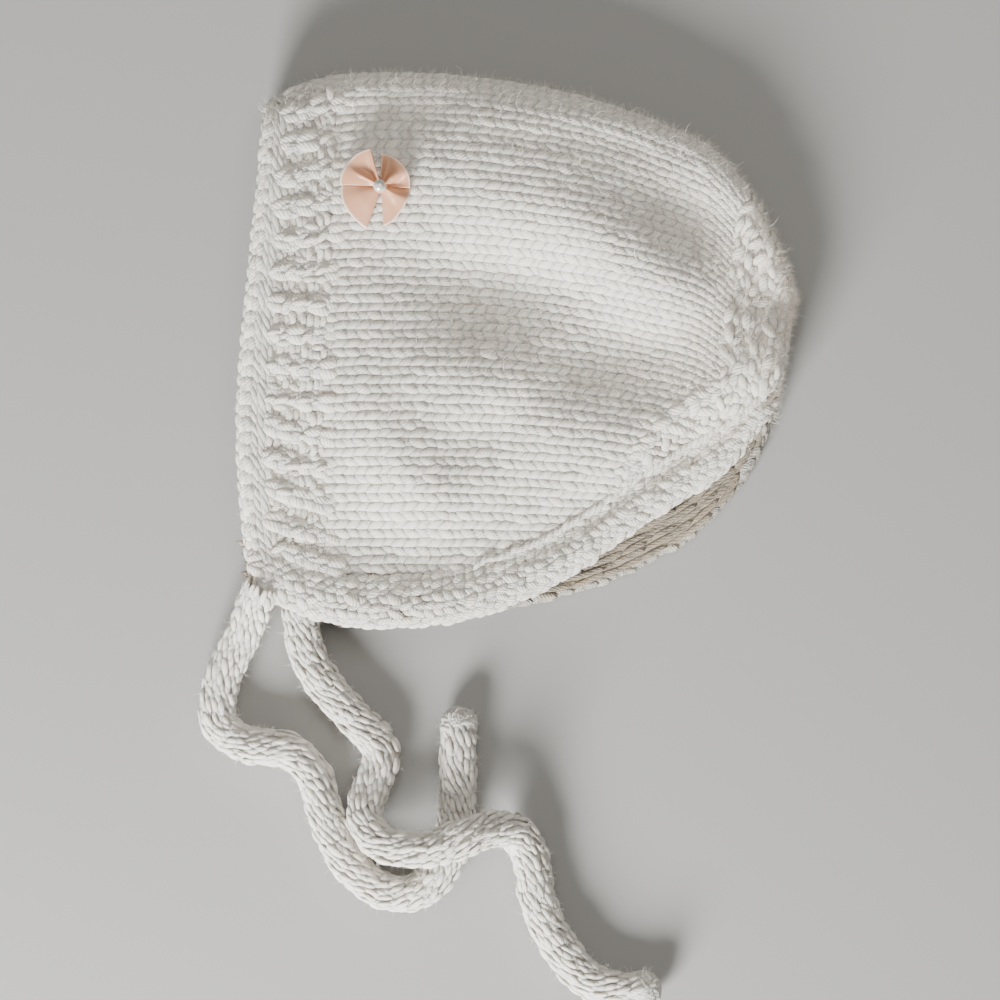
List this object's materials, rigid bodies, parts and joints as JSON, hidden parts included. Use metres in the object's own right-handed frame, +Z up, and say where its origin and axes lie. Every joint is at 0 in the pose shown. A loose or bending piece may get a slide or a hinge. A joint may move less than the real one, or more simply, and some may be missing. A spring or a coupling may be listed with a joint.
{
  "type": "baby bonnet",
  "caption": "Hand-knitted baby bonnet lying flat on its side: ribbed face band, folded body, gathered back, neck band, two free chin ties and a small ribbon bow with a pearl.",
  "frame": {"origin": "on the surface that the bonnet lies on, under the middle of its outline without the ties", "axes": "+X from the face edge to the back of the head, +Y from the neck edge to the crown, +Z up, from the layer that lies on the surface to the layer above"},
  "size_m": [0.178, 0.2793, 0.0312],
  "materials": {
    "knit": "fuzzy knitted yarn",
    "satin": "satin ribbon",
    "pearl": "pearly gloss"
  },
  "bodies": {
    "root": {"crown_body": "knit", "front_rib_band": "knit", "back_gather": "knit", "neck_band": "knit", "near_tie": "knit", "far_tie": "knit", "bow_left_loop": "satin", "bow_right_loop": "satin", "bow_left_tail": "satin", "bow_right_tail": "satin", "bow_knot": "satin", "pearl": "pearl"}
  },
  "joints": []
}
